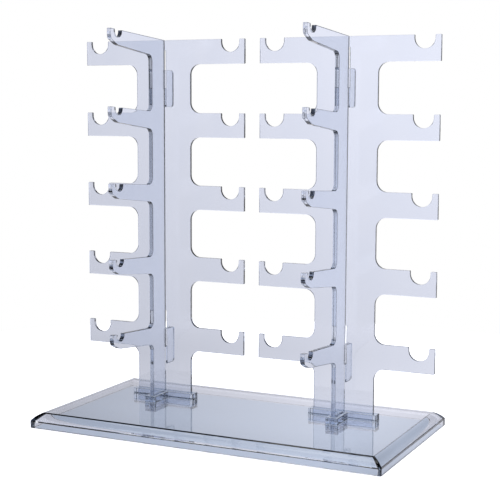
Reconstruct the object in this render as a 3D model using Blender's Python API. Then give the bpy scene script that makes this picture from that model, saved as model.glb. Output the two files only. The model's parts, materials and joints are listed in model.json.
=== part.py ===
"""Knock-down eyewear display rack in clear plastic: two columns of five tiers on one base tray.

Each column is a flat back plate with five pairs of notched arms, and a fin that stands square to it
and hooks into it. A pair of glasses lies with its bridge in a fin's notch and its temples in the two
notches of the plate's arms. Plate and fin drop together into a T-shaped socket in the base.

Metres, +Z up. The origin is the middle of the base's footprint, on the surface it stands on. +Y points
from the fins' tips to the back of the rack, and +X to the right of someone who faces the fins.
"""

import math

import bmesh
import bpy

# Clearances
GAP = 0.0003                # between pieces that touch or slide on each other

# Base tray
BASE_LENGTH = 0.330         # along X
BASE_DEPTH = 0.174          # along Y
BASE_HEIGHT = 0.013         # up to the top face
SIDE_HEIGHT = 0.0065        # upright side below the bevel
BEVEL_RUN = 0.009           # how far the bevel reaches in over the base
BEVEL_CROWN = 0.0007        # how far the bevel bulges from a straight slope
BEVEL_STEPS = 4
CORNER_RADIUS = 0.0015      # upright corners at the side
TOP_CORNER_RADIUS = 0.0005  # the same corners at the top face
CORNER_STEPS = 4
WALL = 0.0035               # top and side walls

# T-shaped sockets in the base
COLUMN_X = 0.090            # each side of the middle
PLATE_Y = 0.024             # front face of the back plates
SOCKET_RISE = 0.0055        # above the top face
SOCKET_WALL = 0.0035
SOCKET_BOTTOM = 0.0015      # underside of the socket's cup
SOCKET_FLOOR = 0.0020       # thickness of the cup's floor
SOCKET_CORNER = 0.0008

# Back plates
PLATE_THICKNESS = 0.003
PLATE_TOP = 0.345           # height of the top tier's arms
TIERS = 5
TIER_PITCH = 0.066
WEB_HALF_WIDTH = 0.028
ARM_REACH = 0.0825          # from the plate's middle line to an arm's tip
ARM_HEIGHT = 0.022
ARM_FILLET = 0.0095         # inside corners between arm and web
PRONG_WIDTH = 0.0052        # outside the temple notch
TEMPLE_NOTCH_RADIUS = 0.009
TEMPLE_NOTCH_DEPTH = 0.0115

# Fins
FIN_THICKNESS = 0.004
FIN_WEB_DEPTH = 0.0235      # in front of the plate
FIN_REACH = 0.093           # from the plate to the fin's tips
FIN_TIP_RISE = 0.0058       # tip above the tier's arms
FIN_ROOT_HEIGHT = 0.017     # height of an arm, carried back to the plate
FIN_UNDER_SLOPE = 0.11      # rise of the arm's underside towards the tip
FIN_FILLET = 0.006
FIN_NOSE_DEPTH = 0.011      # from the tip back to the start of the rounded nose
FIN_NOSE_RADIUS = 0.014     # underside into the nose
FIN_CHIN_DROP = 0.0030      # lowest point of the upright tip face, below the tier's arms
FIN_CHIN_RADIUS = 0.004
BRIDGE_NOTCH_SETBACK = 0.0125  # middle of the notch behind the tip
BRIDGE_NOTCH_HALF_WIDTH = 0.0055
BRIDGE_NOTCH_DEPTH = 0.0065
BRIDGE_NOTCH_STEPS = 10

# Hooks on the back of a fin, and the plate slots that they pass through
NECK_BOTTOMS = (0.061, 0.3015)
NECK_HEIGHT = 0.0165
HOOK_DROP = 0.017           # how far the hook hangs below its neck
HOOK_DEPTH = 0.014          # behind the plate
HOOK_RADIUS = 0.003
SLOT_HEADROOM = 0.0012      # slot height beyond the hook's own

# Worked out from the above
TIER_TOPS = [PLATE_TOP - tier * TIER_PITCH for tier in range(TIERS)]
FOOT_Z = SOCKET_BOTTOM + SOCKET_FLOOR + GAP
SOCKET_TOP = BASE_HEIGHT + SOCKET_RISE
FIN_TOP_SLOPE = FIN_TIP_RISE / FIN_REACH

ARC_STEP = math.radians(15)
SAME_POINT = 1e-6

# Clear polystyrene with a pale blue cast
CLEAR_COLOUR = (0.80, 0.84, 0.93, 1.0)
BASE_COLOUR = (0.70, 0.76, 0.88, 1.0)


def clear_scene():
    """Remove every object that the file starts with."""
    for obj in list(bpy.data.objects):
        bpy.data.objects.remove(obj, do_unlink=True)


def clear_plastic(name, colour):
    """A glossy, mostly see-through plastic."""
    material = bpy.data.materials.new(name)
    material.use_nodes = True
    shader = material.node_tree.nodes["Principled BSDF"]
    shader.inputs["Base Color"].default_value = colour
    shader.inputs["Metallic"].default_value = 0.0
    shader.inputs["Roughness"].default_value = 0.06
    shader.inputs["IOR"].default_value = 1.59
    shader.inputs["Transmission Weight"].default_value = 0.9
    material.diffuse_color = colour
    return material


def rounded(corners):
    """Closed outline through (u, v, radius) corners, each one rounded by an arc of its radius."""
    points = []
    for i, (u, v, radius) in enumerate(corners):
        before = corners[i - 1]
        after = corners[(i + 1) % len(corners)]
        if radius == 0:
            points.append((u, v))
            continue
        in_angle = math.atan2(v - before[1], u - before[0])
        out_angle = math.atan2(after[1] - v, after[0] - u)
        turn = (out_angle - in_angle + math.pi) % (2 * math.pi) - math.pi
        side = math.copysign(1.0, turn)
        tangent = radius * math.tan(abs(turn) / 2)
        start_u = u - tangent * math.cos(in_angle)
        start_v = v - tangent * math.sin(in_angle)
        centre_u = start_u - side * radius * math.sin(in_angle)
        centre_v = start_v + side * radius * math.cos(in_angle)
        steps = max(1, round(abs(turn) / ARC_STEP))
        for step in range(steps + 1):
            angle = in_angle - side * math.pi / 2 + turn * step / steps
            points.append((centre_u + radius * math.cos(angle), centre_v + radius * math.sin(angle)))
    # two arcs that meet in a point leave it twice
    return [point for i, point in enumerate(points) if math.dist(point, points[i - 1]) > SAME_POINT]


def new_object(name, bm, material=None):
    """Turn a bmesh into a named object with its normals facing out."""
    bmesh.ops.recalc_face_normals(bm, faces=bm.faces)
    mesh = bpy.data.meshes.new(name)
    bm.to_mesh(mesh)
    bm.free()
    obj = bpy.data.objects.new(name, mesh)
    bpy.context.collection.objects.link(obj)
    if material:
        mesh.materials.append(material)
    mesh.shade_smooth()
    mesh.set_sharp_from_angle(angle=math.radians(30))
    return obj


def slab(name, outline, holes, place, along, material=None):
    """Fill a flat outline with holes, and extrude it along a vector.

    place turns an outline's (u, v) into a point, and along is the thickness as a vector.
    """
    bm = bmesh.new()
    for loop in (outline, *holes):
        verts = [bm.verts.new(place(u, v)) for u, v in loop]
        for i, vert in enumerate(verts):
            bm.edges.new((vert, verts[(i + 1) % len(verts)]))
    filled = bmesh.ops.triangle_fill(bm, use_beauty=True, edges=bm.edges)
    faces = [item for item in filled["geom"] if isinstance(item, bmesh.types.BMFace)]
    grown = bmesh.ops.extrude_face_region(bm, geom=faces, use_keep_orig=True)
    moved = [item for item in grown["geom"] if isinstance(item, bmesh.types.BMVert)]
    bmesh.ops.translate(bm, vec=along, verts=moved)
    return new_object(name, bm, material)


def hidden_cutter(obj):
    """Mark an object as a cutting tool that isn't part of the rack."""
    obj.hide_render = True
    obj.display_type = "WIRE"
    return obj


def boolean(obj, tool, operation):
    """Join a tool to an object, or cut it away, exactly."""
    modifier = obj.modifiers.new(tool.name, "BOOLEAN")
    modifier.operation = operation
    modifier.solver = "EXACT"
    modifier.object = tool


def base_loop(bm, inset, height, radius):
    """One closed loop of vertices around the base, inset from its footprint."""
    half_x = BASE_LENGTH / 2 - inset - radius
    half_y = BASE_DEPTH / 2 - inset - radius
    verts = []
    for quarter, (sign_x, sign_y) in enumerate(((1, 1), (-1, 1), (-1, -1), (1, -1))):
        for step in range(CORNER_STEPS + 1):
            angle = math.pi / 2 * (quarter + step / CORNER_STEPS)
            x = sign_x * half_x + radius * math.cos(angle)
            y = sign_y * half_y + radius * math.sin(angle)
            verts.append(bm.verts.new((x, y, height)))
    return verts


def bevel_levels():
    """(inset, height, corner radius) up the crowned bevel, from the side to the top face."""
    rise = BASE_HEIGHT - SIDE_HEIGHT
    slope_length = math.hypot(BEVEL_RUN, rise)
    levels = []
    for step in range(BEVEL_STEPS + 1):
        t = step / BEVEL_STEPS
        bulge = BEVEL_CROWN * 4 * t * (1 - t)
        inset = BEVEL_RUN * t - bulge * rise / slope_length
        height = SIDE_HEIGHT + rise * t + bulge * BEVEL_RUN / slope_length
        radius = CORNER_RADIUS + (TOP_CORNER_RADIUS - CORNER_RADIUS) * t
        levels.append((inset, height, radius))
    return levels


def tray_shell(material):
    """The tray, open below: side, crowned bevel and top face outside, and the same inside a wall."""
    outside = [(0.0, 0.0, CORNER_RADIUS)] + bevel_levels()
    inner_top = BASE_HEIGHT - WALL
    inner_radius = TOP_CORNER_RADIUS
    inside = [
        (BEVEL_RUN + WALL / 2, inner_top, inner_radius),
        (WALL, SIDE_HEIGHT - WALL / 2, inner_radius),
        (WALL, 0.0, inner_radius),
    ]
    bm = bmesh.new()
    loops = [base_loop(bm, *level) for level in outside + inside]
    count = len(loops[0])
    top = len(outside) - 1
    for lower, upper in zip(range(len(loops)), range(1, len(loops))):
        if lower == top:
            continue
        for i in range(count):
            j = (i + 1) % count
            bm.faces.new((loops[lower][i], loops[lower][j], loops[upper][j], loops[upper][i]))
    bm.faces.new(loops[top])
    bm.faces.new(loops[top + 1])
    for i in range(count):
        j = (i + 1) % count
        bm.faces.new((loops[-1][i], loops[-1][j], loops[0][j], loops[0][i]))
    return new_object("base_tray", bm, material)


def t_outline(x, grow, corner):
    """T outline around the foot of plate and fin, grown by an amount, with the stem to the front."""
    bar = WEB_HALF_WIDTH + grow
    stem = FIN_THICKNESS / 2 + grow
    back = PLATE_Y + PLATE_THICKNESS + grow
    front = PLATE_Y - grow
    tip = PLATE_Y - FIN_WEB_DEPTH - grow
    return rounded([
        (x - bar, front, corner),
        (x - stem, front, 0),
        (x - stem, tip, corner),
        (x + stem, tip, corner),
        (x + stem, front, 0),
        (x + bar, front, corner),
        (x + bar, back, corner),
        (x - bar, back, corner),
    ])


def t_block(name, x, grow, corner, bottom, top):
    """Upright prism on the T outline, used to add a socket's cup or to cut its slot."""
    block = slab(name, t_outline(x, grow, corner), (), lambda u, v: (u, v, bottom), (0, 0, top - bottom))
    return hidden_cutter(block)


def make_base(material):
    """Base tray with a cup for each column, and the T-shaped slot in each cup."""
    base = tray_shell(material)
    for side, x in (("left", -COLUMN_X), ("right", COLUMN_X)):
        cup = t_block(f"cup_{side}", x, GAP + SOCKET_WALL, SOCKET_CORNER, SOCKET_BOTTOM, SOCKET_TOP)
        boolean(base, cup, "UNION")
    for side, x in (("left", -COLUMN_X), ("right", COLUMN_X)):
        floor = SOCKET_BOTTOM + SOCKET_FLOOR
        slot = t_block(f"slot_{side}", x, GAP, 0, floor, SOCKET_TOP + SOCKET_RISE)
        boolean(base, slot, "DIFFERENCE")
    return base


def arm_corners(top, last):
    """Corners of a plate's right-hand edge for one tier, from the arm's top down to its web."""
    outer = ARM_REACH - PRONG_WIDTH
    inner = outer - 2 * TEMPLE_NOTCH_RADIUS
    notch_bottom = top - TEMPLE_NOTCH_DEPTH
    corners = [
        (inner, top, 0),
        (inner, notch_bottom, TEMPLE_NOTCH_RADIUS),
        (outer, notch_bottom, TEMPLE_NOTCH_RADIUS),
        (outer, top, 0),
        (ARM_REACH, top, 0),
        (ARM_REACH, top - ARM_HEIGHT, 0),
        (WEB_HALF_WIDTH, top - ARM_HEIGHT, ARM_FILLET),
    ]
    if not last:
        corners.append((WEB_HALF_WIDTH, top - TIER_PITCH, ARM_FILLET))
    return corners


def plate_outline():
    """Outline of a back plate about its own middle line, as (x, z) points."""
    right = []
    for tier, top in enumerate(TIER_TOPS):
        right += arm_corners(top, last=tier == TIERS - 1)
    right.append((WEB_HALF_WIDTH, FOOT_Z, 0))
    left = [(-u, v, radius) for u, v, radius in reversed(right)]
    return rounded(right + left)


def slot_outline(neck_bottom):
    """Slot in a plate that lets a fin's hook through and carries its neck, as (x, z) points."""
    half = FIN_THICKNESS / 2 + GAP
    low = neck_bottom - GAP
    high = low + NECK_HEIGHT + HOOK_DROP + SLOT_HEADROOM
    return [(-half, low), (half, low), (half, high), (-half, high)]


def make_plate(side, x, material):
    """Back plate of a column, with its slots for the fin's hooks."""
    slots = [slot_outline(bottom) for bottom in NECK_BOTTOMS]
    return slab(
        f"back_plate_{side}",
        plate_outline(),
        slots,
        lambda u, v: (x + u, PLATE_Y, v),
        (0, PLATE_THICKNESS, 0),
        material,
    )


def bridge_notch(top):
    """Half-round notch for the bridge, behind the tip, from its back edge to its front edge."""
    middle = FIN_REACH - BRIDGE_NOTCH_SETBACK
    points = []
    for step in range(BRIDGE_NOTCH_STEPS + 1):
        angle = math.pi * step / BRIDGE_NOTCH_STEPS
        u = middle - BRIDGE_NOTCH_HALF_WIDTH * math.cos(angle)
        v = top + FIN_TOP_SLOPE * u - BRIDGE_NOTCH_DEPTH * math.sin(angle)
        points.append((u, v, 0))
    return points


def fin_arm_corners(top, last):
    """Corners of a fin for one tier, from its notch round the tip and back to the web."""
    nose = FIN_REACH - FIN_NOSE_DEPTH
    under = top - FIN_ROOT_HEIGHT
    corners = bridge_notch(top)
    corners += [
        (FIN_REACH, top + FIN_TIP_RISE, 0),
        (FIN_REACH, top - FIN_CHIN_DROP, FIN_CHIN_RADIUS),
        (nose, under + FIN_UNDER_SLOPE * nose, FIN_NOSE_RADIUS),
        (FIN_WEB_DEPTH, under + FIN_UNDER_SLOPE * FIN_WEB_DEPTH, FIN_FILLET),
    ]
    if not last:
        next_top = top - TIER_PITCH + FIN_TOP_SLOPE * FIN_WEB_DEPTH
        corners.append((FIN_WEB_DEPTH, next_top, FIN_FILLET))
    return corners


def hook_corners(neck_bottom):
    """Corners of one hook and its neck, going up the fin's back edge."""
    behind_plate = -PLATE_THICKNESS - GAP
    hook_back = behind_plate - HOOK_DEPTH
    return [
        (GAP, neck_bottom, 0),
        (behind_plate, neck_bottom, 0),
        (behind_plate, neck_bottom - HOOK_DROP, 0),
        (hook_back, neck_bottom - HOOK_DROP, HOOK_RADIUS),
        (hook_back, neck_bottom + NECK_HEIGHT, HOOK_RADIUS),
        (GAP, neck_bottom + NECK_HEIGHT, 0),
    ]


def fin_outline():
    """Outline of a fin as (u, z) points, where u is the distance in front of the plate."""
    corners = []
    for tier, top in enumerate(TIER_TOPS):
        corners += fin_arm_corners(top, last=tier == TIERS - 1)
    corners += [(FIN_WEB_DEPTH, FOOT_Z, 0), (GAP, FOOT_Z, 0)]
    for neck_bottom in NECK_BOTTOMS:
        corners += hook_corners(neck_bottom)
    corners.append((GAP, PLATE_TOP + FIN_TOP_SLOPE * GAP, 0))
    return rounded(corners)


def make_fin(side, x, material):
    """Fin of a column: web, five rising arms with a notch at each tip, and two hooks at the back."""
    return slab(
        f"fin_{side}",
        fin_outline(),
        (),
        lambda u, v: (x - FIN_THICKNESS / 2, PLATE_Y - u, v),
        (FIN_THICKNESS, 0, 0),
        material,
    )


def main():
    clear_scene()
    clear = clear_plastic("clear_polystyrene", CLEAR_COLOUR)
    tinted = clear_plastic("clear_polystyrene_base", BASE_COLOUR)
    make_base(tinted)
    for side, x in (("left", -COLUMN_X), ("right", COLUMN_X)):
        make_plate(side, x, clear)
        make_fin(side, x, clear)


main()
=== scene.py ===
"""Knock-down eyewear display rack in clear moulded polystyrene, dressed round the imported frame.

The five mouldings are a base tray with two T-shaped sockets, two back plates with notched arms, and two
fins that hook into the plates. Each is one closed surface of rings: a flat outline with rounded corners,
stepped along a rounded edge profile, and flat caps between. Metres, +Z up, in the frame of the model.
"""

from __future__ import annotations

import json
import logging
import math
from dataclasses import dataclass, field
from enum import Enum
from typing import Any, Sequence

import bpy
import numpy as np
from mathutils import Euler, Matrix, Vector
from mathutils.geometry import tessellate_polygon

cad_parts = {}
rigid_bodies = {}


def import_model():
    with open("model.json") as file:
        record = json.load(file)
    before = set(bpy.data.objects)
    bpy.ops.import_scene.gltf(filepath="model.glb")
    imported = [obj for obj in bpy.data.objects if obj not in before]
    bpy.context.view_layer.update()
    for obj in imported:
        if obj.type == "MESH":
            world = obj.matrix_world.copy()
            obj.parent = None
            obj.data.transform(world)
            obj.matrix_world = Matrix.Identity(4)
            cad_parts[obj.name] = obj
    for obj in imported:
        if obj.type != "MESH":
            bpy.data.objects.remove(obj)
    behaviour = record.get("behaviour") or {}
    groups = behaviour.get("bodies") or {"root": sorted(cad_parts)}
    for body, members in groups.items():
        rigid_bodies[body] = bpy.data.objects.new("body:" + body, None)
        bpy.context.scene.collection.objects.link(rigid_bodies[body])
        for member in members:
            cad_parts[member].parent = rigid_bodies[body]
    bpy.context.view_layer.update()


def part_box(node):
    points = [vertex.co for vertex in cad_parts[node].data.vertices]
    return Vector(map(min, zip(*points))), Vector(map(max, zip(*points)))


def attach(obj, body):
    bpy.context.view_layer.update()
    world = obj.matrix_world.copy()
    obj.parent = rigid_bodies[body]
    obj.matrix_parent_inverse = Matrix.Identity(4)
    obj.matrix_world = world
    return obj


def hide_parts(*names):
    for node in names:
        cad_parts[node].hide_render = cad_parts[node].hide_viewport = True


log = logging.getLogger("eyewear_rack")

MM = 0.001
SAME_POINT = 1e-7
ARC_STEP = math.radians(7.5)
SECTION_STEP = math.radians(12)
SOCKET_STEP = math.radians(18)
EDGE_STEPS = 4

Corner = tuple[float, float, float]


# ---------------------------------------------------------------- outlines and shells


@dataclass(frozen=True)
class Outline:
    """A plane curve: its points, and the unit normal at each, both (n, 2) arrays."""

    points: np.ndarray
    normals: np.ndarray

    def offset(self, distance: float) -> np.ndarray:
        """The points moved along their normals: p + distance * n."""
        return self.points + distance * self.normals


def rounded(corners: Sequence[Corner], closed: bool = True, step: float = ARC_STEP) -> Outline:
    """Round a polygon's corners with arcs that touch both sides.

    A corner where the heading turns by an angle t gets an arc whose ends lie radius * tan(t / 2) from
    the corner. Its centre is one radius to the side that the path turns to. The normal points to the
    right of the heading, which is outwards on a path that runs counter-clockwise.

    Args:
        corners: (u, v, radius) for each corner.
        closed: False for a path whose first and last corners are its ends.
        step: largest angle between two points of an arc.

    Returns:
        The rounded outline, without doubled points.
    """
    table = np.array(corners, float)
    here, radius = table[:, :2], table[:, 2:]
    arriving = here - np.roll(here, 1, axis=0)
    arriving /= np.linalg.norm(arriving, axis=1, keepdims=True)
    leaving = np.roll(arriving, -1, axis=0)
    cross = arriving[:, 0] * leaving[:, 1] - arriving[:, 1] * leaving[:, 0]
    turn = np.arctan2(cross, np.sum(arriving * leaving, axis=1))
    side = np.sign(turn)[:, None]
    start = here - radius * np.tan(np.abs(turn) / 2)[:, None] * arriving
    right = np.stack([arriving[:, 1], -arriving[:, 0]], axis=1)
    centre = start - side * radius * right
    counts = np.maximum(1, np.ceil(np.abs(turn) / step)).astype(int) + 1
    if not closed:
        counts[[0, -1]] = 1
        turn[[0, -1]] = 0.0
        right[0] = [leaving[0, 1], -leaving[0, 0]]
        centre[[0, -1]] = here[[0, -1]] - side[[0, -1]] * radius[[0, -1]] * right[[0, -1]]
    corner = np.repeat(np.arange(len(table)), counts)
    along = np.arange(counts.sum()) - np.repeat(np.cumsum(counts) - counts, counts)
    angle = turn[corner] * along / np.maximum(1, counts[corner] - 1)
    cos, sin = np.cos(angle), np.sin(angle)
    x, y = right[corner].T
    normals = np.stack([x * cos - y * sin, x * sin + y * cos], axis=1)
    points = centre[corner] + (side * radius)[corner] * normals
    gap = np.linalg.norm(points - np.roll(points, 1, axis=0), axis=1)
    keep = gap > SAME_POINT
    return Outline(points[keep], normals[keep])


def counter_clockwise(corners: Sequence[Corner]) -> list[Corner]:
    """Put a polygon's corners in the order that keeps the inside on the left.

    Args:
        corners: (u, v, radius) for each corner.

    Returns:
        The corners, turned round if their signed area was negative.
    """
    table = np.array(corners, float)
    u, v = table[:, 0], table[:, 1]
    area = np.sum(u * np.roll(v, -1) - np.roll(u, -1) * v)
    return list(corners) if area > 0 else list(reversed(corners))


@dataclass(frozen=True)
class Ring:
    """A closed loop of a shell: the numbers of its points, and a normal for each."""

    ids: np.ndarray
    normals: np.ndarray


@dataclass
class Shell:
    """A closed mesh gathered as bands between rings, and flat caps, with a true normal at each corner."""

    points: list[np.ndarray] = field(default_factory=list)
    faces: list[np.ndarray] = field(default_factory=list)
    normals: list[np.ndarray] = field(default_factory=list)
    count: int = 0

    def ring(self, points: np.ndarray, normals: np.ndarray) -> Ring:
        """Add a loop of points.

        Args:
            points: where they are, (n, 3).
            normals: which way the surface faces at each, (n, 3).

        Returns:
            The loop, for bands and caps to join.
        """
        ids = np.arange(self.count, self.count + len(points))
        self.points.append(points)
        self.count += len(points)
        return Ring(ids, normals)

    def band(self, first: Ring, second: Ring) -> None:
        """Join two rings with quads: point i to point i, and point i + 1 to point i + 1.

        Args:
            first, second: rings of the same length.
        """
        corners = (first.ids, np.roll(first.ids, -1), np.roll(second.ids, -1), second.ids)
        shading = (
            first.normals,
            np.roll(first.normals, -1, axis=0),
            np.roll(second.normals, -1, axis=0),
            second.normals,
        )
        self.faces.append(np.stack(corners, axis=1))
        self.normals.append(np.stack(shading, axis=1))

    def sweep(self, rings: Sequence[Ring]) -> None:
        """Join each ring to the next."""
        for first, second in zip(rings, rings[1:]):
            self.band(first, second)

    def cap(self, rings: Sequence[Ring], normal: Sequence[float], axes: tuple[int, int]) -> None:
        """Fill the flat space inside the first ring and outside the others.

        Args:
            rings: the outer ring, then any holes.
            normal: which way the cap faces.
            axes: the two coordinates that it is flat in.
        """
        points = np.concatenate(self.points)
        flat = [np.insert(points[ring.ids][:, list(axes)], 2, 0.0, axis=1).tolist() for ring in rings]
        triangles = np.array(tessellate_polygon(flat))
        ids = np.concatenate([ring.ids for ring in rings])[triangles]
        self.faces.append(ids)
        self.normals.append(np.broadcast_to(np.array(normal, float), (*ids.shape, 3)))

    def mesh(self, name: str) -> bpy.types.Mesh:
        """Write the mesh, with every face wound so that it points the way its normals do.

        Args:
            name: the mesh's name.

        Returns:
            The mesh, smooth, with the shell's own normals.
        """
        points = np.concatenate(self.points)
        wound, shading = [], []
        for ids, normals in zip(self.faces, self.normals):
            corner = points[ids]
            flat = np.cross(corner[:, 1] - corner[:, 0], corner[:, 2] - corner[:, 0])
            if ids.shape[1] == 4:
                flat = np.cross(corner[:, 2] - corner[:, 0], corner[:, 3] - corner[:, 1])
            inside_out = np.sum(flat * normals.mean(axis=1), axis=1) < 0
            ids, normals = ids.copy(), normals.copy()
            ids[inside_out] = ids[inside_out, ::-1]
            normals[inside_out] = normals[inside_out, ::-1]
            wound.append(ids)
            shading.append(normals)
        corners = np.concatenate([ids.ravel() for ids in wound])
        sizes = np.concatenate([np.full(len(ids), ids.shape[1]) for ids in wound])
        mesh = bpy.data.meshes.new(name)
        mesh.vertices.add(len(points))
        mesh.vertices.foreach_set("co", points.astype(np.float32).ravel())
        mesh.loops.add(len(corners))
        mesh.loops.foreach_set("vertex_index", corners.astype(np.int32))
        mesh.polygons.add(len(sizes))
        starts = np.cumsum(sizes) - sizes
        mesh.polygons.foreach_set("loop_start", starts.astype(np.int32))
        mesh.update(calc_edges=True)
        mesh.shade_smooth()
        mesh.normals_split_custom_set(np.concatenate([n.reshape(-1, 3) for n in shading]))
        return mesh


def edge_profile(radius: float, steps: int = EDGE_STEPS) -> np.ndarray:
    """A rounded edge as rows of (inset, depth, side share, face share).

    A quarter circle from the flat face round to the side: at angle a the inset from the side is
    radius * (1 - sin a), the depth below the face radius * (1 - cos a), and the normal leans sin a
    to the side and cos a to the face.

    Args:
        radius: how far the edge is rounded.
        steps: how many bands it is made of.

    Returns:
        One row for each ring, from the face to the side.
    """
    angle = np.linspace(0.0, math.pi / 2, steps + 1)
    sin, cos = np.sin(angle), np.cos(angle)
    return np.stack([radius * (1 - sin), radius * (1 - cos), sin, cos], axis=1)


@dataclass
class Slab:
    """A flat moulding: an outline with holes and a thickness, rounded at all its edges.

    Attributes:
        outline, holes: its edges, as flat (u, v) curves.
        normal_axis: the coordinate that the thickness runs along.
        low, high: its two flat faces, on that axis.
        flat_axes: the coordinates that u and v run along.
        turn: 1, or -1 where u runs against its coordinate.
        shift: where (0, 0) lies, on flat_axes.
        edge: radius of the rounded edges.
    """

    outline: Outline
    holes: Sequence[Outline]
    normal_axis: int
    low: float
    high: float
    flat_axes: tuple[int, int]
    turn: float
    shift: tuple[float, float]
    edge: float

    def points(self, flat: np.ndarray, level: float) -> np.ndarray:
        """Put flat points at a level of the thickness.

        Args:
            flat: (u, v) rows.
            level: where they lie on the normal axis.

        Returns:
            The points, (n, 3).
        """
        out = np.empty((len(flat), 3))
        out[:, self.flat_axes[0]] = self.shift[0] + self.turn * flat[:, 0]
        out[:, self.flat_axes[1]] = self.shift[1] + flat[:, 1]
        out[:, self.normal_axis] = level
        return out

    def directions(self, flat: np.ndarray, rise: float) -> np.ndarray:
        """Turn flat normals, with a share along the thickness, into directions.

        Args:
            flat: (u, v) rows.
            rise: the share along the normal axis.

        Returns:
            The directions, (n, 3).
        """
        out = np.empty((len(flat), 3))
        out[:, self.flat_axes[0]] = self.turn * flat[:, 0]
        out[:, self.flat_axes[1]] = flat[:, 1]
        out[:, self.normal_axis] = rise
        return out

    def wall(self, shell: Shell, outline: Outline, facing: float) -> tuple[Ring, Ring]:
        """Build the rounded wall on one outline.

        Args:
            shell: what it is added to.
            outline: the outer edge, or a hole's.
            facing: 1 where the wall faces along the outline's normals, -1 in a hole.

        Returns:
            The wall's rings on the low face and on the high face.
        """
        rings = []
        profile = edge_profile(self.edge)
        for inset, depth, to_side, to_face in profile:
            rings.append(self.level(shell, outline, facing, inset, self.low + depth, to_side, -to_face))
        for inset, depth, to_side, to_face in profile[::-1]:
            rings.append(self.level(shell, outline, facing, inset, self.high - depth, to_side, to_face))
        shell.sweep(rings)
        return rings[0], rings[-1]

    def level(self, shell: Shell, outline: Outline, facing: float, inset: float, height: float,
              to_side: float, rise: float) -> Ring:
        """Add one ring of a wall.

        Args:
            shell: what it is added to.
            outline, facing: as for the wall.
            inset: how far it lies from the outline, into the material.
            height: where it lies on the normal axis.
            to_side, rise: the shares of its normal out of the wall and along the normal axis.

        Returns:
            The ring.
        """
        points = self.points(outline.offset(-facing * inset), height)
        normals = self.directions(outline.normals * facing * to_side, rise)
        return shell.ring(points, normals)

    def shell(self) -> Shell:
        """Build the slab: its walls and its two faces.

        Returns:
            Its closed surface.
        """
        made = Shell()
        pairs = [self.wall(made, self.outline, 1.0)]
        pairs += [self.wall(made, hole, -1.0) for hole in self.holes]
        up = np.eye(3)[self.normal_axis]
        made.cap([low for low, _ in pairs], -up, self.flat_axes)
        made.cap([high for _, high in pairs], up, self.flat_axes)
        return made


# ---------------------------------------------------------------- finishes


def linear(code: str, alpha: float = 1.0) -> tuple[float, float, float, float]:
    """Turn an sRGB colour into a linear one.

    Each share c is c / 12.92 up to 0.04045, and ((c + 0.055) / 1.055) to the power 2.4 above.

    Args:
        code: the colour as "#rrggbb".
        alpha: what the fourth value holds.

    Returns:
        Linear RGBA.
    """
    values = np.array([int(code[i:i + 2], 16) for i in (1, 3, 5)]) / 255
    low, high = values / 12.92, ((values + 0.055) / 1.055) ** 2.4
    return (*np.where(values <= 0.04045, low, high).tolist(), alpha)


def add_node(tree: bpy.types.NodeTree, kind: str, settings: dict[str, Any] | None = None,
             values: dict[Any, Any] | None = None, links: dict[Any, Any] | None = None) -> bpy.types.Node:
    """Add a node to a tree.

    Args:
        tree: the tree that it joins.
        kind: the node's type, such as "ShaderNodeTexNoise".
        settings: its properties, by name.
        values: what its input sockets hold, by name or number.
        links: the sockets that feed its input sockets, by name or number.

    Returns:
        The new node.
    """
    node = tree.nodes.new(kind)
    for name, value in (settings or {}).items():
        setattr(node, name, value)
    for name, value in (values or {}).items():
        node.inputs[name].default_value = value
    for name, source in (links or {}).items():
        tree.links.new(source, node.inputs[name])
    return node


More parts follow.
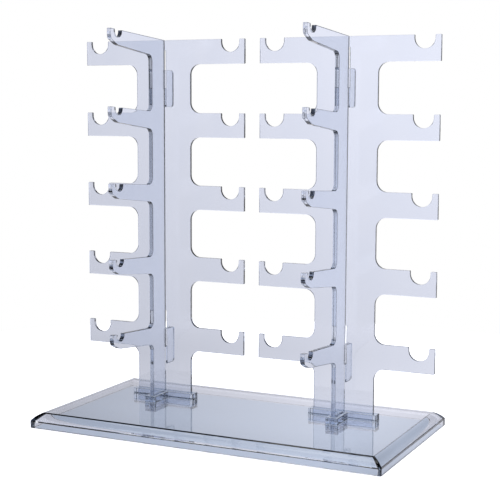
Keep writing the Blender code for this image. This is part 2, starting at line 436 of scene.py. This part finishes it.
@dataclass(frozen=True)
class ClearPolystyrene:
    """General-purpose polystyrene, injection moulded in a polished tool.

    It is glass-clear with a pale blue cast, hard and glossy, and it bends light strongly, so cut-off
    faces and long looks along a wall come out dark. The tool and the shrinking melt leave it very
    slightly wavy, and handling leaves a haze of fine scuffs.

    Attributes:
        tint: what both faces of a wall pass.
        depth_colour, depth_density: what each metre of plastic takes away, as Blender's absorption.
        wave: height of the waviness over wave_size.
        stretch: how tightly the waves lie along Z, against X and Y, as the melt flows up the mould.
        flow_band: the part of the flow pattern over which the tint fades.
        fade: how far it fades towards clear.
        roughness, scuffed: of the polished face, and in the middle of a patch of scuffs.
        scuff_band: the part of the scuff pattern over which they set in.
    """

    name: str
    tint: str
    depth_colour: str
    depth_density: float
    wave: float
    wave_size: float = 22 * MM
    stretch: float = 0.35
    flow_band: tuple[float, float] = (0.3, 0.7)
    fade: float = 0.12
    ior: float = 1.59
    roughness: float = 0.012
    scuffed: float = 0.06
    scuff_size: float = 7 * MM
    scuff_band: tuple[float, float] = (0.56, 0.78)

    def material(self) -> bpy.types.Material:
        """Build the node material.

        Returns:
            A refractive surface over an absorbing volume.
        """
        material = bpy.data.materials.new(self.name)
        material.use_nodes = True
        tree = material.node_tree
        tree.nodes.clear()
        place = add_node(tree, "ShaderNodeTexCoord")
        streaks = add_node(
            tree, "ShaderNodeMapping", values={"Scale": (1.0, 1.0, self.stretch)},
            links={"Vector": place.outputs["Object"]},
        )
        flow = add_node(
            tree, "ShaderNodeTexNoise",
            values={"Scale": 1 / self.wave_size, "Detail": 2.0, "Roughness": 0.45},
            links={"Vector": streaks.outputs["Vector"]},
        )
        cast = add_node(
            tree, "ShaderNodeMapRange",
            values={
                "From Min": self.flow_band[0], "From Max": self.flow_band[1],
                "To Min": 0.0, "To Max": self.fade,
            },
            links={"Value": flow.outputs["Fac"]},
        )
        tint = add_node(
            tree, "ShaderNodeMix", {"data_type": "RGBA"},
            {"A": linear(self.tint), "B": linear("#ffffff")}, {"Factor": cast.outputs["Result"]},
        )
        scuffs = add_node(
            tree, "ShaderNodeTexNoise",
            values={"Scale": 1 / self.scuff_size, "Detail": 5.0, "Roughness": 0.65},
            links={"Vector": place.outputs["Object"]},
        )
        haze = add_node(
            tree, "ShaderNodeMapRange", {"interpolation_type": "SMOOTHSTEP"},
            {
                "From Min": self.scuff_band[0], "From Max": self.scuff_band[1],
                "To Min": self.roughness, "To Max": self.scuffed,
            },
            {"Value": scuffs.outputs["Fac"]},
        )
        bump = add_node(
            tree, "ShaderNodeBump", values={"Strength": 1.0, "Distance": self.wave},
            links={"Height": flow.outputs["Fac"]},
        )
        shader = add_node(
            tree, "ShaderNodeBsdfPrincipled",
            values={"IOR": self.ior, "Transmission Weight": 1.0},
            links={
                "Base Color": tint.outputs["Result"],
                "Roughness": haze.outputs["Result"],
                "Normal": bump.outputs["Normal"],
            },
        )
        depth = add_node(
            tree, "ShaderNodeVolumeAbsorption",
            values={"Color": linear(self.depth_colour), "Density": self.depth_density},
        )
        add_node(
            tree, "ShaderNodeOutputMaterial",
            links={"Surface": shader.outputs["BSDF"], "Volume": depth.outputs["Volume"]},
        )
        return material


class Finish(Enum):
    """The rack's two plastics: the columns' thin plates, and a clearer copy of the same plastic for the base,
    which paints the tray and its sockets lighter; the blue it lacks is painted into the floor's shade under the
    tray.
    """

    COLUMN = ClearPolystyrene(
        "clear_polystyrene_moulded", tint="#edf1f9", depth_colour="#93a5bd", depth_density=16.0, wave=0.02 * MM,
    )
    # A lighter copy of the column plastic: its clearer tint and lower absorption brighten the tray.
    BASE = ClearPolystyrene(
        "clear_polystyrene_moulded_base", tint="#fafbff", depth_colour="#8199b0", depth_density=11.0,
        wave=0.02 * MM,
    )


class Side(Enum):
    """The rack's two columns."""

    LEFT = "left"
    RIGHT = "right"


# ---------------------------------------------------------------- mouldings


@dataclass
class Moulding:
    """What every moulding shares.

    Attributes:
        piece: its name.
        node: the CAD node that it stands for.
        body: the body that it rides on.
        slot: its material's slot; not used.
        finish: its plastic.
    """

    piece: str
    node: str
    body: str
    slot: str
    finish: ClearPolystyrene

    def shell(self) -> Shell:
        """The moulding's closed surface."""
        raise NotImplementedError

    def build(self, material: bpy.types.Material) -> bpy.types.Object:
        """Make the piece, let it stand for its node, and let it ride on its body.

        Args:
            material: its finish, as a node material.

        Returns:
            The piece's object.
        """
        mesh = self.shell().mesh(self.piece)
        mesh.materials.append(material)
        obj = bpy.data.objects.new(self.piece, mesh)
        bpy.context.scene.collection.objects.link(obj)
        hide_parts(self.node)
        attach(obj, self.body)
        return obj


@dataclass
class TierPlan:
    """Heights that the plates and fins share.

    Attributes:
        top: of the first tier's arms.
        pitch: from one tier down to the next.
        tiers: how many there are.
    """

    top: float = 0.345
    pitch: float = 0.066
    tiers: int = 5

    def tops(self) -> list[float]:
        """Height of each tier's arms, from the top tier down."""
        return [self.top - tier * self.pitch for tier in range(self.tiers)]


@dataclass
class HookPlan:
    """A fin's two hooks, and the slots in the plate that take them.

    Attributes:
        neck_bottoms: height of each neck's underside.
        neck_height, depth, radius: size of a neck, and how far and how rounded a hook stands behind it.
        drop: how far a hook hangs below its neck.
        headroom: what the slot leaves above a lifted hook.
        gap: what it leaves to every other side.
    """

    neck_bottoms: tuple[float, ...] = (0.061, 0.3015)
    neck_height: float = 16.5 * MM
    drop: float = 17 * MM
    depth: float = 14 * MM
    radius: float = 3 * MM
    headroom: float = 1.2 * MM
    gap: float = 0.3 * MM


@dataclass
class BackPlate(Moulding):
    """A column's back plate: a web with a notched arm to each side at each tier."""

    tiers: TierPlan = field(default_factory=TierPlan)
    hooks: HookPlan = field(default_factory=HookPlan)
    web_half_width: float = 28 * MM
    arm_height: float = 22 * MM
    arm_fillet: float = 9.5 * MM
    prong: float = 5.2 * MM
    notch_radius: float = 9 * MM
    notch_depth: float = 11.5 * MM
    fin_thickness: float = 4 * MM
    corner: float = 0.7 * MM
    edge: float = 0.35 * MM

    def half_outline(self, reach: float, foot: float) -> list[Corner]:
        """Corners of the right-hand half, from the top arm down to the foot.

        Args:
            reach: from the middle to the tips of the arms.
            foot: height of the bottom edge.

        Returns:
            Its corners, from the middle of the plate outwards at each arm.
        """
        outer = reach - self.prong
        inner = outer - 2 * self.notch_radius
        corners: list[Corner] = []
        for tier, top in enumerate(self.tiers.tops()):
            bottom = top - self.notch_depth
            corners += [
                (inner, top, self.corner),
                (inner, bottom, self.notch_radius),
                (outer, bottom, self.notch_radius),
                (outer, top, self.corner),
                (reach, top, self.corner),
                (reach, top - self.arm_height, self.corner),
                (self.web_half_width, top - self.arm_height, self.arm_fillet),
            ]
            if tier < self.tiers.tiers - 1:
                corners.append((self.web_half_width, top - self.tiers.pitch, self.arm_fillet))
        corners.append((self.web_half_width, foot, self.corner))
        return corners

    def slots(self) -> list[Outline]:
        """The slots for the fin's hooks.

        Returns:
            Their outlines, the lower one first.
        """
        half = self.fin_thickness / 2 + self.hooks.gap
        found = []
        for bottom in self.hooks.neck_bottoms:
            low = bottom - self.hooks.gap
            high = low + self.hooks.neck_height + self.hooks.drop + self.hooks.headroom
            corners = ((-half, low), (half, low), (half, high), (-half, high))
            found.append(rounded([(*corner, self.hooks.gap) for corner in corners]))
        return found

    def shell(self) -> Shell:
        """Draw the plate as a slab in X and Z, as thick along Y as its node.

        Returns:
            Its closed surface.
        """
        low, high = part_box(self.node)
        reach = (high.x - low.x) / 2
        right = self.half_outline(reach, low.z)
        left = [(-u, v, radius) for u, v, radius in reversed(right)]
        outline = rounded(counter_clockwise(right + left))
        middle = (low.x + high.x) / 2
        return Slab(outline, self.slots(), 1, low.y, high.y, (0, 2), 1.0, (middle, 0.0), self.edge).shell()


@dataclass
class Fin(Moulding):
    """A column's fin: a web with a rising arm at each tier, notched for the bridge, and two hooks."""

    tiers: TierPlan = field(default_factory=TierPlan)
    hooks: HookPlan = field(default_factory=HookPlan)
    plate_thickness: float = 3 * MM
    web_depth: float = 23.5 * MM
    root_height: float = 17 * MM
    under_slope: float = 0.11
    fillet: float = 6 * MM
    nose_depth: float = 11 * MM
    nose_radius: float = 14 * MM
    chin_drop: float = 3 * MM
    chin_radius: float = 4 * MM
    notch_setback: float = 12.5 * MM
    notch_radius: float = 5.5 * MM
    notch_depth: float = 6.5 * MM
    tip_rise: float = 5.8 * MM
    corner: float = 0.6 * MM
    edge: float = 0.35 * MM

    def arm(self, top: float, reach: float, last: bool) -> list[Corner]:
        """Corners of one arm, from its notch round the tip and back under to the web.

        The top rises in a straight line to the tip, by tip_rise over the reach.

        Args:
            top: height of its tier at the plate.
            reach: from the plate to the tip.
            last: True for the lowest arm, which has no web below it.

        Returns:
            Its corners as (distance in front of the plate, height, radius).
        """
        slope = self.tip_rise / reach
        middle = reach - self.notch_setback
        back, front = middle - self.notch_radius, middle + self.notch_radius
        bottom = top + slope * middle - self.notch_depth
        nose = reach - self.nose_depth
        under = top - self.root_height
        corners = [
            (back, top + slope * back, self.corner),
            (back, bottom, self.notch_radius),
            (front, bottom, self.notch_radius),
            (front, top + slope * front, self.corner),
            (reach, top + self.tip_rise, self.corner),
            (reach, top - self.chin_drop, self.chin_radius),
            (nose, under + self.under_slope * nose, self.nose_radius),
            (self.web_depth, under + self.under_slope * self.web_depth, self.fillet),
        ]
        if not last:
            next_top = top - self.tiers.pitch + slope * self.web_depth
            corners.append((self.web_depth, next_top, self.fillet))
        return corners

    def hook(self, neck_bottom: float) -> list[Corner]:
        """Corners of one hook and its neck, going up the fin's back.

        Args:
            neck_bottom: height of the neck's underside.

        Returns:
            Its corners as (distance in front of the plate, height, radius).
        """
        plan = self.hooks
        behind = -self.plate_thickness - plan.gap
        back = behind - plan.depth
        return [
            (plan.gap, neck_bottom, self.corner),
            (behind, neck_bottom, self.corner),
            (behind, neck_bottom - plan.drop, self.corner),
            (back, neck_bottom - plan.drop, plan.radius),
            (back, neck_bottom + plan.neck_height, plan.radius),
            (plan.gap, neck_bottom + plan.neck_height, self.corner),
        ]

    def shell(self) -> Shell:
        """Draw the fin as a slab in Y and Z, as thick along X as its node.

        Its outline is drawn against u, the distance in front of the plate, so y = plate - u.

        Returns:
            Its closed surface.
        """
        low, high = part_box(self.node)
        plate = high.y - self.plate_thickness - self.hooks.gap - self.hooks.depth
        reach = plate - low.y
        slope = self.tip_rise / reach
        corners: list[Corner] = []
        tops = self.tiers.tops()
        for top in tops:
            corners += self.arm(top, reach, last=top == tops[-1])
        corners += [(self.web_depth, low.z, self.corner), (self.hooks.gap, low.z, self.corner)]
        for neck_bottom in self.hooks.neck_bottoms:
            corners += self.hook(neck_bottom)
        corners.append((self.hooks.gap, tops[0] + slope * self.hooks.gap, self.corner))
        outline = rounded(counter_clockwise(corners))
        return Slab(outline, (), 0, low.x, high.x, (1, 2), -1.0, (plate, 0.0), self.edge).shell()


@dataclass
class BaseTray(Moulding):
    """The tray, open below, with a crowned bevel and a T-shaped socket for each column."""

    columns: tuple[float, ...] = ()
    plate_front: float = 24 * MM
    height: float = 13 * MM
    side_height: float = 6.5 * MM
    bevel: float = 9 * MM
    crown: float = 1.3 * MM
    crown_radius: float = 21 * MM
    side_corner: float = 1.5 * MM
    top_corner: float = 0.5 * MM
    wall: float = 3.5 * MM
    fold: float = 0.9 * MM
    inner_fold: float = 0.5 * MM
    edge: float = 0.4 * MM
    web_half_width: float = 28 * MM
    fin_thickness: float = 4 * MM
    fin_depth: float = 23.5 * MM
    plate_thickness: float = 3 * MM
    socket_rise: float = 5.5 * MM
    socket_wall: float = 3.5 * MM
    socket_bottom: float = 1.5 * MM
    socket_floor: float = 2 * MM
    socket_corner: float = 1 * MM
    gap: float = 0.3 * MM
    corner_steps: int = 8

    def section(self) -> Outline:
        """The wall's section as (inset from the footprint, height), from the top face round to the inside.

        The bevel is two lines to a raised middle point, rounded by one long arc into a crown.

        Returns:
            The section as an open path.
        """
        rise = self.height - self.side_height
        slope = math.hypot(self.bevel, rise)
        middle = (
            self.bevel / 2 - self.crown * rise / slope,
            self.side_height + rise / 2 + self.crown * self.bevel / slope,
        )
        inside = self.height - self.wall
        return rounded([
            (self.bevel + self.wall, self.height, 0.0),
            (self.bevel, self.height, self.fold / 2),
            (*middle, self.crown_radius),
            (0.0, self.side_height, self.fold),
            (0.0, 0.0, self.edge),
            (self.wall, 0.0, self.edge),
            (self.wall, self.side_height - self.wall / 2, self.inner_fold),
            (self.bevel + self.wall / 2, inside, self.inner_fold),
            (self.bevel + self.wall, inside, 0.0),
        ], closed=False, step=SECTION_STEP)

    def around(self, shell: Shell, half: tuple[float, float], inset: float, height: float,
               normal: np.ndarray) -> Ring:
        """One ring of the section carried round the footprint.

        The corner radius shrinks in step with the inset. With d the way out at a point of the ring,
        s the corner's signs, r the corner radius and (a, b) the section's tangent, the surface runs
        along -(a + r'a) s + r'a d across the ring, and the normal is square to that and to the ring.

        Args:
            shell: what it is added to.
            half: half the footprint's size, in X and Y.
            inset: how far it lies inside the footprint.
            height: where it lies.
            normal: the section's normal there, as (inset, height).

        Returns:
            The ring.
        """
        shrink = (self.top_corner - self.side_corner) / self.bevel
        radius = max(self.top_corner, self.side_corner + shrink * inset)
        shrink = shrink if inset < self.bevel else 0.0
        steps = self.corner_steps
        quarter = np.repeat(np.arange(4), steps + 1)
        angle = math.pi / 2 * (quarter + np.tile(np.arange(steps + 1), 4) / steps)
        out = np.stack([np.cos(angle), np.sin(angle)], axis=1)
        signs = np.array([(1, 1), (-1, 1), (-1, -1), (1, -1)])[quarter]
        flat = signs * (np.array(half) - inset - radius) + radius * out
        tangent = np.array([normal[1], -normal[0]])
        across = -(1 + shrink) * tangent[0] * signs + shrink * tangent[0] * out
        normals = np.empty((len(flat), 3))
        normals[:, :2] = out * tangent[1]
        normals[:, 2] = -np.sum(out * across, axis=1)
        normals /= np.linalg.norm(normals, axis=1, keepdims=True)
        return shell.ring(np.column_stack([flat, np.full(len(flat), height)]), normals)

    def socket_outline(self, x: float, grow: float, corner: float) -> Outline:
        """Draw the T round the foot of plate and fin, with the stem to the front.

        Args:
            x: the middle of the column.
            grow: how far the T stands off the plate and the fin.
            corner: radius of its outer corners.

        Returns:
            The rounded T.
        """
        bar = self.web_half_width + grow
        stem = self.fin_thickness / 2 + grow
        front, back = self.plate_front - grow, self.plate_front + self.plate_thickness + grow
        tip = self.plate_front - self.fin_depth - grow
        crotch = 2 * self.gap
        return rounded([
            (x - bar, front, corner),
            (x - stem, front, crotch),
            (x - stem, tip, corner),
            (x + stem, tip, corner),
            (x + stem, front, crotch),
            (x + bar, front, corner),
            (x + bar, back, corner),
            (x - bar, back, corner),
        ], step=SOCKET_STEP)

    def socket_ring(self, shell: Shell, outline: Outline, offset: float, height: float, lean: float,
                    rise: float) -> Ring:
        """Add one level ring of a socket.

        Args:
            shell: what it is added to.
            outline: the socket's outline.
            offset: how far outside it the ring lies.
            height: where it lies.
            lean, rise: the shares of its normal out of the outline and upwards.

        Returns:
            The ring.
        """
        flat = outline.offset(offset)
        normals = np.column_stack([outline.normals * lean, np.full(len(flat), rise)])
        return shell.ring(np.column_stack([flat, np.full(len(flat), height)]), normals)

    def socket(self, shell: Shell, x: float) -> tuple[Ring, Ring]:
        """Build one socket: a wall that stands up round the slot, and a cup that hangs below it.

        Args:
            shell: what it is added to.
            x: the middle of the column.

        Returns:
            The rings where it leaves the tray's top and the underside of that.
        """
        cup = self.socket_outline(x, self.gap + self.socket_wall, self.socket_corner)
        slot = self.socket_outline(x, self.gap, self.gap)
        rim = self.height + self.socket_rise
        edge = edge_profile(self.edge)
        outside = [
            self.socket_ring(shell, cup, inset, self.height + depth, to_side, to_face)
            for inset, depth, to_side, to_face in edge
        ]
        on_top = outside[0]
        outside += [
            self.socket_ring(shell, cup, -inset, rim - depth, to_side, to_face)
            for inset, depth, to_side, to_face in edge[::-1]
        ]
        inside = [
            self.socket_ring(shell, slot, inset, rim - depth, -to_side, to_face)
            for inset, depth, to_side, to_face in edge
        ]
        floor = self.socket_bottom + self.socket_floor
        inside.append(self.socket_ring(shell, slot, 0.0, floor, -1.0, 0.0))
        shell.sweep(outside + inside)
        shell.cap([inside[-1]], (0, 0, 1), (0, 1))
        below = [
            self.socket_ring(shell, cup, inset, self.height - self.wall - depth, to_side, -to_face)
            for inset, depth, to_side, to_face in edge
        ]
        under = below[0]
        below += [
            self.socket_ring(shell, cup, -inset, self.socket_bottom + depth, to_side, -to_face)
            for inset, depth, to_side, to_face in edge[::-1]
        ]
        shell.sweep(below)
        shell.cap([below[-1]], (0, 0, -1), (0, 1))
        return on_top, under

    def shell(self) -> Shell:
        """Build the tray: the section carried round, the sockets, and the flat top and underside.

        Returns:
            Its closed surface.
        """
        low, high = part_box(self.node)
        half = ((high.x - low.x) / 2, (high.y - low.y) / 2)
        made = Shell()
        section = self.section()
        rings = [
            self.around(made, half, inset, height, normal)
            for (inset, height), normal in zip(section.points, section.normals)
        ]
        made.sweep(rings)
        sockets = [self.socket(made, x) for x in self.columns]
        made.cap([rings[0]] + [top for top, _ in sockets], (0, 0, 1), (0, 1))
        made.cap([rings[-1]] + [under for _, under in sockets], (0, 0, -1), (0, 1))
        return made


# ---------------------------------------------------------------- studio


@dataclass(frozen=True)
class Ramp:
    """A line, or a soft step, from one (value, result) to another, and flat outside them."""

    start: tuple[float, float]
    end: tuple[float, float]
    soft: bool = False


def shading(tree: bpy.types.NodeTree,
            factors: Sequence[tuple[bpy.types.NodeSocket, Ramp]]) -> bpy.types.NodeSocket:
    """Multiply ramps: the result is the product of each ramp, read at its own value.

    Args:
        tree: the tree that they are added to.
        factors: each value with the ramp over it.

    Returns:
        The socket that gives the product.
    """
    results = []
    for value, ramp in factors:
        (low, first), (high, last) = ramp.start, ramp.end
        node = add_node(
            tree, "ShaderNodeMapRange", {"interpolation_type": "SMOOTHSTEP" if ramp.soft else "LINEAR"},
            {"From Min": low, "From Max": high, "To Min": first, "To Max": last}, {"Value": value},
        )
        results.append(node.outputs["Result"])
    product = results[0]
    for result in results[1:]:
        node = add_node(tree, "ShaderNodeMath", {"operation": "MULTIPLY"}, links={0: product, 1: result})
        product = node.outputs["Value"]
    return product


@dataclass
class Studio:
    """A pale floor, a pale backdrop, a black card and the camera.

    Directions are unit vectors from the rack, and brightness is 1 for white.

    Attributes:
        backdrop: colour of the light from the backdrop and the floor.
        behind_across, behind_up: brightness of what is behind the plastic, against X and Z.
        mirrored_across, mirrored_up: brightness of what the plastic mirrors, against X and Z.
        guided: what is left of light that is mirrored many times inside a wall.
        flag_way: where the black card stands.
        flag_core, flag_edge: angles from it, in degrees, where the card is darkest and where it ends.
        flag_light: brightness of the card's middle.
        floor_radius, floor_sides: size of the floor, and how many sides stand for its round rim.
        floor_gap: how far it lies below the tray's rim.
        floor_fade: the share of the radius where the floor starts to fade out.
        floor_across, floor_back: painted brightness of the floor's glow, against X and Y: dimmer to the left,
            towards the front, and at the tray's right end.
        footprint: half the size of the floor that the tray covers.
        shade: colour of the painted shadow on that part, the floor's glow there dimmed and tinted blue as if
            the tray cast it.
        card, glow: the floor's own colour, and the light it adds, as the camera sees it.
        middle: what the softboxes face.
        sensor_width: the camera's, in millimetres.
        eye, yaw, pitch, roll, field_of_view: its place, and its angles in degrees.
    """

    backdrop: str = "#f7f7ff"
    behind_across: Ramp = Ramp((-0.55, 0.92), (-0.2, 1.2))
    behind_up: Ramp = Ramp((-0.17, 0.86), (0.03, 1.02))
    mirrored_across: tuple[Ramp, ...] = (
        Ramp((-0.55, 0.47), (-0.36, 0.97)),
        Ramp((-0.15, 1.0), (0.15, 0.45), soft=True),
        Ramp((0.24, 1.0), (0.36, 2.0), soft=True),
    )
    mirrored_up: tuple[Ramp, ...] = (Ramp((-0.15, 1.25), (0.08, 0.95)), Ramp((0.2, 1.0), (0.5, 0.05)))
    guided: Ramp = Ramp((2.0, 1.0), (5.0, 0.15))
    flag_way: tuple[float, float, float] = (-0.42, -0.91, -0.06)
    flag_core: float = 18.0
    flag_edge: float = 30.0
    flag_light: float = 0.07
    floor_radius: float = 0.55
    floor_sides: int = 96
    floor_gap: float = 0.3 * MM
    floor_fade: float = 0.6
    # Painted light: how the floor's glow dims across and along the floor.
    floor_across: tuple[Ramp, ...] = (Ramp((-0.3, 0.67), (0.3, 1.06)), Ramp((0.11, 1.0), (0.16, 0.82)))
    floor_back: Ramp = Ramp((-0.06, 0.86), (0.0, 0.99))
    footprint: tuple[float, float] = (0.162, 0.084)
    # Painted shadow: colour of the floor's glow under the tray.
    shade: str = "#d0dcf1"
    card: str = "#eef0f4"
    glow: float = 0.6
    sensor_width: float = 36.0
    middle: tuple[float, float, float] = (0.0, 0.0, 0.15)
    eye: tuple[float, float, float] = (0.466, -0.959, 0.284)
    yaw: float = 25.42
    pitch: float = 6.67
    roll: float = 0.22
    field_of_view: float = 23.23

    def world(self) -> None:
        """Three skies: white for the camera, one behind the plastic, and one that the plastic mirrors.

        Behind the plastic the backdrop is duller to the left and below. What the plastic mirrors, from
        outside or by total reflection, is a backdrop that falls off overhead and to the left, and a black
        card in front and to the left, which shows as the dark lines along edges. The mirrored sky also
        fades where light has been led along inside a wall.
        """
        world = bpy.data.worlds.new("studio")
        bpy.context.scene.world = world
        world.use_nodes = True
        tree = world.node_tree
        tree.nodes.clear()
        way = add_node(tree, "ShaderNodeTexCoord").outputs["Generated"]
        parts = add_node(tree, "ShaderNodeSeparateXYZ", links={"Vector": way})
        x, z = parts.outputs["X"], parts.outputs["Z"]
        path = add_node(tree, "ShaderNodeLightPath")
        times = path.outputs["Glossy Depth"]
        towards = add_node(
            tree, "ShaderNodeVectorMath", {"operation": "DOT_PRODUCT"},
            {1: Vector(self.flag_way).normalized()}, {0: way},
        ).outputs["Value"]
        edge, core = (math.cos(math.radians(angle)) for angle in (self.flag_edge, self.flag_core))
        flag = Ramp((edge, 1.0), (core, self.flag_light), soft=True)
        behind = shading(tree, [(x, self.behind_across), (z, self.behind_up)])
        mirrored = shading(tree, [
            *((x, ramp) for ramp in self.mirrored_across),
            *((z, ramp) for ramp in self.mirrored_up),
            (towards, flag),
            (times, self.guided),
        ])
        is_mirrored = shading(tree, [(times, Ramp((0.0, 0.0), (1.0, 1.0)))])
        strength = add_node(tree, "ShaderNodeMix", {"data_type": "FLOAT"}, links={
            "Factor": is_mirrored, "A": behind, "B": mirrored,
        })
        unseen = add_node(
            tree, "ShaderNodeBackground", values={"Color": linear(self.backdrop)},
            links={"Strength": strength.outputs["Result"]},
        )
        seen = add_node(tree, "ShaderNodeBackground", values={"Color": linear("#ffffff"), "Strength": 1.0})
        both = add_node(tree, "ShaderNodeMixShader", links={
            "Fac": path.outputs["Is Camera Ray"],
            1: unseen.outputs["Background"],
            2: seen.outputs["Background"],
        })
        add_node(tree, "ShaderNodeOutputWorld", links={"Surface": both.outputs["Shader"]})

    def tray_shadow_mask(self, tree: bpy.types.NodeTree, x: bpy.types.NodeSocket,
                y: bpy.types.NodeSocket) -> bpy.types.NodeSocket:
        """Find the part of the floor that the tray covers: where both |x| and |y| lie inside its rim.

        Args:
            tree: the floor's node tree.
            x, y: where on the floor.

        Returns:
            The socket that gives 1 on that part and 0 off it.
        """
        # The mask of the painted shadow under the tray.
        sides = []
        for place, half in zip((x, y), self.footprint):
            size = add_node(tree, "ShaderNodeMath", {"operation": "ABSOLUTE"}, links={0: place})
            rim = Ramp((half, 1.0), (half + self.floor_gap, 0.0), soft=True)
            sides.append((size.outputs["Value"], rim))
        return shading(tree, sides)

    def card_material(self) -> bpy.types.Material:
        """White card, which the camera sees a little over-exposed.

        In the plastic it is an emitting card, painted light like the backdrop: dimmer to the left and towards
        the front, fading out towards its rim, with a painted shadow, darker and bluer, under the tray.

        Returns:
            The floor's material.
        """
        material = bpy.data.materials.new("white_card_painted_glow_and_tray_shadow")
        material.use_nodes = True
        tree = material.node_tree
        tree.nodes.clear()
        place = add_node(tree, "ShaderNodeTexCoord").outputs["Object"]
        parts = add_node(tree, "ShaderNodeSeparateXYZ", links={"Vector": place})
        x, y = parts.outputs["X"], parts.outputs["Y"]
        # Painted shadow: under the tray the glow takes the darker, bluer shade colour, as if the tray cast a
        # shadow.
        colour = add_node(
            tree, "ShaderNodeMix", {"data_type": "RGBA"},
            {"A": linear(self.backdrop), "B": linear(self.shade)}, {"Factor": self.tray_shadow_mask(tree, x, y)},
        )
        # Painted light: the glow dims to the left, towards the front and at the tray's right end.
        strength = shading(tree, [*((x, ramp) for ramp in self.floor_across), (y, self.floor_back)])
        card = add_node(
            tree, "ShaderNodeEmission", links={"Color": colour.outputs["Result"], "Strength": strength},
        )
        away = add_node(tree, "ShaderNodeVectorMath", {"operation": "LENGTH"}, links={0: place})
        rim = Ramp((self.floor_fade * self.floor_radius, 0.0), (self.floor_radius, 1.0), soft=True)
        gone = add_node(tree, "ShaderNodeBsdfTransparent")
        faded = add_node(tree, "ShaderNodeMixShader", links={
            "Fac": shading(tree, [(away.outputs["Value"], rim)]),
            1: card.outputs["Emission"],
            2: gone.outputs["BSDF"],
        })
        matt = add_node(tree, "ShaderNodeBsdfDiffuse", values={"Color": linear(self.card)})
        glow = add_node(tree, "ShaderNodeEmission", values={"Strength": self.glow})
        exposed = add_node(
            tree, "ShaderNodeAddShader", links={0: matt.outputs["BSDF"], 1: glow.outputs["Emission"]},
        )
        path = add_node(tree, "ShaderNodeLightPath")
        both = add_node(tree, "ShaderNodeMixShader", links={
            "Fac": path.outputs["Is Camera Ray"], 1: faded.outputs["Shader"], 2: exposed.outputs["Shader"],
        })
        add_node(tree, "ShaderNodeOutputMaterial", links={"Surface": both.outputs["Shader"]})
        return material

    def floor(self) -> None:
        """Lay a round sheet: its rim is radius * (cos a, sin a), for a all the way round."""
        angle = np.linspace(0.0, 2 * math.pi, self.floor_sides, endpoint=False)
        rim = self.floor_radius * np.column_stack([np.cos(angle), np.sin(angle), np.zeros_like(angle)])
        mesh = bpy.data.meshes.new("floor")
        mesh.from_pydata(rim.tolist(), [], [list(range(len(rim)))])
        mesh.materials.append(self.card_material())
        floor = bpy.data.objects.new("floor", mesh)
        floor.location.z = -self.floor_gap
        bpy.context.scene.collection.objects.link(floor)

    def light(self, name: str, size: float, power: float, place: tuple[float, float, float]) -> None:
        """Hang a square softbox that faces the middle of the rack.

        Args:
            name: its name.
            size: its side.
            power: its power in watts.
            place: where it hangs.
        """
        lamp = bpy.data.lights.new(name, "AREA")
        lamp.shape = "SQUARE"
        lamp.size = size
        lamp.energy = power
        obj = bpy.data.objects.new(name, lamp)
        obj.location = place
        aim = Vector(self.middle) - obj.location
        obj.rotation_euler = aim.to_track_quat("-Z", "Y").to_euler()
        bpy.context.scene.collection.objects.link(obj)

    def camera(self) -> None:
        """Stand the camera in front and to the right, looking slightly down."""
        data = bpy.data.cameras.new("camera")
        data.sensor_width = self.sensor_width
        data.lens = data.sensor_width / 2 / math.tan(math.radians(self.field_of_view) / 2)
        obj = bpy.data.objects.new("camera", data)
        obj.location = self.eye
        turn = Euler((math.radians(90 - self.pitch), 0.0, math.radians(self.yaw)), "XYZ").to_matrix()
        turn = turn @ Euler((0.0, 0.0, math.radians(self.roll)), "XYZ").to_matrix()
        obj.rotation_euler = turn.to_euler()
        bpy.context.scene.collection.objects.link(obj)
        bpy.context.scene.camera = obj

    def build(self) -> None:
        """Set up everything round the rack, and let light pass through enough walls."""
        self.world()
        self.floor()
        self.light("softbox_above", size=0.9, power=3.0, place=(-0.3, 0.3, 1.4))
        self.light("softbox_right", size=0.6, power=1.5, place=(1.2, 0.2, 0.9))
        self.camera()
        view = bpy.context.scene.view_settings
        view.view_transform = "Standard"
        view.look = "None"
        paths = bpy.context.scene.cycles
        paths.max_bounces = 24
        paths.transmission_bounces = 24
        paths.glossy_bounces = 12


def mouldings() -> list[Moulding]:
    """Describe the five mouldings, placed by their nodes.

    Returns:
        The tray, then each column's plate and fin.
    """
    base, column = Finish.BASE.value, Finish.COLUMN.value
    middles = []
    columns: list[Moulding] = []
    for side in Side:
        plate, fin = f"back_plate_{side.value}", f"fin_{side.value}"
        low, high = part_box(plate)
        middles.append((low.x + high.x) / 2)
        plate_body = f"plate_{side.value}"
        columns.append(BackPlate(plate_body, plate, plate_body, "column_plastic", column))
        columns.append(Fin(f"nose_fin_{side.value}", fin, fin, "column_plastic", column))
    tray = BaseTray("tray", "base_tray", "base", "base_plastic", base, columns=tuple(middles))
    return [tray, *columns]


def main() -> None:
    """Load the frame, build the mouldings round it, and light them."""
    logging.basicConfig(level=logging.INFO, format="%(name)s: %(message)s")
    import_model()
    materials = {finish.value.name: finish.value.material() for finish in Finish}
    for moulding in mouldings():
        obj = moulding.build(materials[moulding.finish.name])
        log.info("%s: %d faces", obj.name, len(obj.data.polygons))
    Studio().build()


if __name__ == "__main__":
    main()
